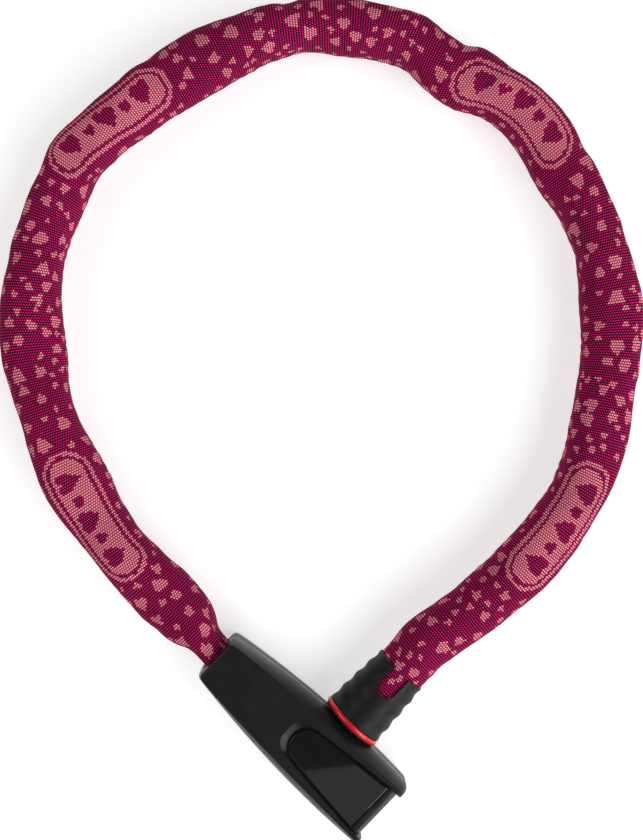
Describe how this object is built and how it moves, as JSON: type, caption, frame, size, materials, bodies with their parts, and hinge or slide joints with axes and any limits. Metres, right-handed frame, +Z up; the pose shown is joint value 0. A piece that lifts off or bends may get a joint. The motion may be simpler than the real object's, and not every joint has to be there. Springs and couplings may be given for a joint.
{
  "type": "chain lock",
  "caption": "Keyed chain lock: a black lock body with a plug-in bolt connector and a loop of square-bar links in a patterned textile sleeve.",
  "frame": {"origin": "on the flat underside of the lock body, below the point where the body's long axis crosses the bolt's axis", "axes": "+X along the lock body towards the keyhole, +Y along the bolt towards the connector, +Z up, away from the face that the lock lies on"},
  "size_m": [0.3334, 0.3197, 0.032],
  "materials": {
    "case_plastic": "fine satin moulded texture",
    "inlay_gloss": "polished",
    "grip_rubber": "matt moulded ribs",
    "red_ring": "satin",
    "textile": "woven jacquard, magenta on burgundy with pink hearts",
    "chain_steel": "hardened, zinc grey",
    "housing_steel": "machined",
    "pin_steel": "ground",
    "bolt_chrome": "polished",
    "bush_steel": "blackened",
    "brass": "machined"
  },
  "bodies": {
    "lock_body": {"case_upper": "case_plastic", "case_lower": "case_plastic", "inlay_panel": "inlay_gloss", "end_plate": "case_plastic", "case_screws": "pin_steel", "lock_housing": "housing_steel", "housing_plate": "housing_steel", "plate_screws": "pin_steel", "anchor_pin": "pin_steel", "anchor_link": "chain_steel", "sleeve_anchor": "textile", "sleeve_clamp": "case_plastic", "socket_bush": "bush_steel", "face_ring": "housing_steel", "cylinder_body": "brass", "cylinder_screw": "pin_steel", "latch_spring": "pin_steel"},
    "latch": {"latch": "housing_steel"},
    "plug": {"cylinder_plug": "brass", "detainer_discs": "brass", "sidebar": "pin_steel", "plug_clip": "pin_steel", "drive_cam": "housing_steel"},
    "keyhole_cover": {"keyhole_cover": "case_plastic"},
    "connector": {"lock_bolt": "bolt_chrome", "connector_head": "housing_steel", "link_pin": "pin_steel", "grip_sleeve": "grip_rubber", "red_ring": "red_ring"},
    "chain_01": {"links_01": "chain_steel", "sleeve_01": "textile"},
    "chain_02": {"links_02": "chain_steel", "sleeve_02": "textile"},
    "chain_03": {"links_03": "chain_steel", "sleeve_03": "textile"},
    "chain_04": {"links_04": "chain_steel", "sleeve_04": "textile"},
    "chain_05": {"links_05": "chain_steel", "sleeve_05": "textile"},
    "chain_06": {"links_06": "chain_steel", "sleeve_06": "textile"},
    "chain_07": {"links_07": "chain_steel", "sleeve_07": "textile"},
    "chain_08": {"links_08": "chain_steel", "sleeve_08": "textile"},
    "chain_09": {"links_09": "chain_steel", "sleeve_09": "textile"},
    "chain_10": {"links_10": "chain_steel", "sleeve_10": "textile"},
    "chain_11": {"links_11": "chain_steel", "sleeve_11": "textile"},
    "chain_12": {"links_12": "chain_steel", "sleeve_12": "textile"},
    "chain_13": {"connector_link": "chain_steel", "sleeve_connector": "textile"}
  },
  "joints": [
    {"name": "bolt_slide", "type": "slide", "parent": "lock_body", "child": "connector", "axis": [0, 1, 0], "range_m": [0, 0.036]},
    {"name": "plug_turn", "type": "hinge", "parent": "lock_body", "child": "plug", "pos_m": [0.02, 0, 0.016], "axis": [1, 0, 0], "range_deg": [0, 90]},
    {"name": "latch_slide", "type": "slide", "parent": "lock_body", "child": "latch", "axis": [0, 0, 1], "range_m": [0, 0.00261], "deforming": ["latch_spring"]},
    {"name": "cover_slide", "type": "slide", "parent": "lock_body", "child": "keyhole_cover", "axis": [0, -1, 0], "range_m": [0, 0.008]},
    {"name": "chain_hinge_01", "type": "hinge", "parent": "lock_body", "child": "chain_01", "pos_m": [-0.09278, 0.00115, 0.016], "axis": [0, 0, 1], "range_deg": [-5.17, 0]},
    {"name": "chain_hinge_02", "type": "hinge", "parent": "chain_01", "child": "chain_02", "pos_m": [-0.15792, 0.00858, 0.016], "axis": [0, 0, 1], "range_deg": [-1.64, 0]},
    {"name": "chain_hinge_03", "type": "hinge", "parent": "chain_02", "child": "chain_03", "pos_m": [-0.21809, 0.03398, 0.016], "axis": [0, 0, 1], "range_deg": [0, 2.39]},
    {"name": "chain_hinge_04", "type": "hinge", "parent": "chain_03", "child": "chain_04", "pos_m": [-0.26327, 0.081, 0.016], "axis": [0, 0, 1], "range_deg": [0, 2.98]},
    {"name": "chain_hinge_05", "type": "hinge", "parent": "chain_04", "child": "chain_05", "pos_m": [-0.27969, 0.14397, 0.016], "axis": [0, 0, 1], "range_deg": [0, 2.51]},
    {"name": "chain_hinge_06", "type": "hinge", "parent": "chain_05", "child": "chain_06", "pos_m": [-0.26624, 0.2079, 0.016], "axis": [0, 0, 1], "range_deg": [0, 2.02]},
    {"name": "chain_hinge_07", "type": "hinge", "parent": "chain_06", "child": "chain_07", "pos_m": [-0.22764, 0.26029, 0.016], "axis": [0, 0, 1], "range_deg": [0, 1.89]},
    {"name": "chain_hinge_08", "type": "hinge", "parent": "chain_07", "child": "chain_08", "pos_m": [-0.16714, 0.28427, 0.016], "axis": [0, 0, 1], "range_deg": [0, 1.73]},
    {"name": "chain_hinge_09", "type": "hinge", "parent": "chain_08", "child": "chain_09", "pos_m": [-0.1021, 0.27958, 0.016], "axis": [0, 0, 1], "range_deg": [-1.64, 0]},
    {"name": "chain_hinge_10", "type": "hinge", "parent": "chain_09", "child": "chain_10", "pos_m": [-0.04529, 0.24745, 0.016], "axis": [0, 0, 1], "range_deg": [-1.95, 0]},
    {"name": "chain_hinge_11", "type": "hinge", "parent": "chain_10", "child": "chain_11", "pos_m": [-0.00556, 0.19568, 0.016], "axis": [0, 0, 1], "range_deg": [-5.01, 0]},
    {"name": "chain_hinge_12", "type": "hinge", "parent": "chain_11", "child": "chain_12", "pos_m": [0.00714, 0.13179, 0.016], "axis": [0, 0, 1], "range_deg": [-3.71, 0]},
    {"name": "chain_hinge_13", "type": "hinge", "parent": "chain_12", "child": "chain_13", "pos_m": [0, 0.0666, 0.016], "axis": [0, 0, 1], "range_deg": [0, 5.81]}
  ],
  "couplings": [
    {"joint": "latch_slide", "follows": "plug_turn", "m_per_rad": 0.0016552},
    {"joint": "chain_hinge_01", "follows": "bolt_slide", "rad_per_m": -2.41},
    {"joint": "chain_hinge_02", "follows": "bolt_slide", "rad_per_m": -0.7},
    {"joint": "chain_hinge_03", "follows": "bolt_slide", "rad_per_m": 1.06},
    {"joint": "chain_hinge_04", "follows": "bolt_slide", "rad_per_m": 1.35},
    {"joint": "chain_hinge_05", "follows": "bolt_slide", "rad_per_m": 1.12},
    {"joint": "chain_hinge_06", "follows": "bolt_slide", "rad_per_m": 0.88},
    {"joint": "chain_hinge_07", "follows": "bolt_slide", "rad_per_m": 0.82},
    {"joint": "chain_hinge_08", "follows": "bolt_slide", "rad_per_m": 0.74},
    {"joint": "chain_hinge_09", "follows": "bolt_slide", "rad_per_m": -0.7},
    {"joint": "chain_hinge_10", "follows": "bolt_slide", "rad_per_m": -0.85},
    {"joint": "chain_hinge_11", "follows": "bolt_slide", "rad_per_m": -2.33},
    {"joint": "chain_hinge_12", "follows": "bolt_slide", "rad_per_m": -1.7},
    {"joint": "chain_hinge_13", "follows": "bolt_slide", "rad_per_m": 2.72}
  ]
}
